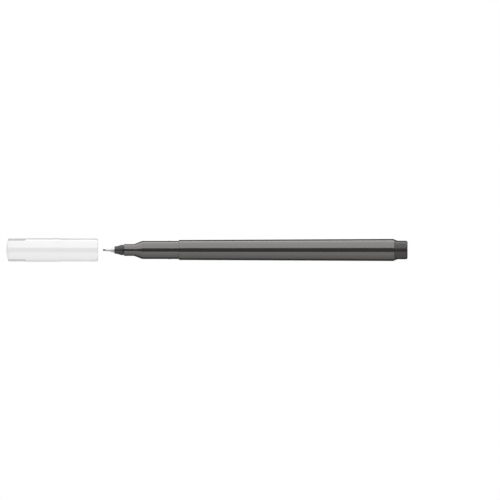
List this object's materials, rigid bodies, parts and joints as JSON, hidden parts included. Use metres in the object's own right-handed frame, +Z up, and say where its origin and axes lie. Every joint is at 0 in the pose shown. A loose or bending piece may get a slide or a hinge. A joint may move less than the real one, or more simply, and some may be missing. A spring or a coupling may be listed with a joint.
{
  "type": "fineliner pen",
  "caption": "Slim fineliner pen with a metal-sleeved fibre tip, a stepped moulded barrel and an inner fibre ink store, its push-on cap pulled off in line with the tip.",
  "frame": {"origin": "Under the middle of the laid-out pen and cap, on the plane that the cap lies on.", "axes": "+X along the pen from the cap to the rear end, +Z up, the viewer on the -Y side."},
  "size_m": [0.1808, 0.0106, 0.0106],
  "materials": {
    "barrel_plastic": "glossy dark grey moulding",
    "plug_plastic": "satin near-black moulding",
    "nose_plastic": "satin near-black moulding",
    "sleeve_metal": "drawn stainless steel",
    "tip_fibre": "ink-soaked bonded fibre",
    "wick_fibre": "ink-soaked polyester fibre",
    "store_fibre": "ink-soaked polyester fibre",
    "store_film": "thin clear film",
    "breather_plastic": "natural polyethylene tube",
    "cap_plastic": "glossy white moulding",
    "liner_plastic": "soft white moulding",
    "insert_plastic": "satin light grey moulding"
  },
  "bodies": {
    "pen": {"barrel": "barrel_plastic", "rear_plug": "plug_plastic", "nose_cone": "nose_plastic", "needle_sleeve": "sleeve_metal", "writing_tip": "tip_fibre", "feed_wick": "wick_fibre", "ink_reservoir": "store_fibre", "reservoir_film": "store_film", "breather_tube": "breather_plastic"},
    "cap": {"cap_shell": "cap_plastic", "cap_liner": "liner_plastic", "cap_end_insert": "insert_plastic"}
  },
  "joints": [
    {"name": "cap_slide", "type": "slide", "parent": "pen", "child": "cap", "axis": [1, 0, 0], "range_m": [0, 0.03621]}
  ]
}
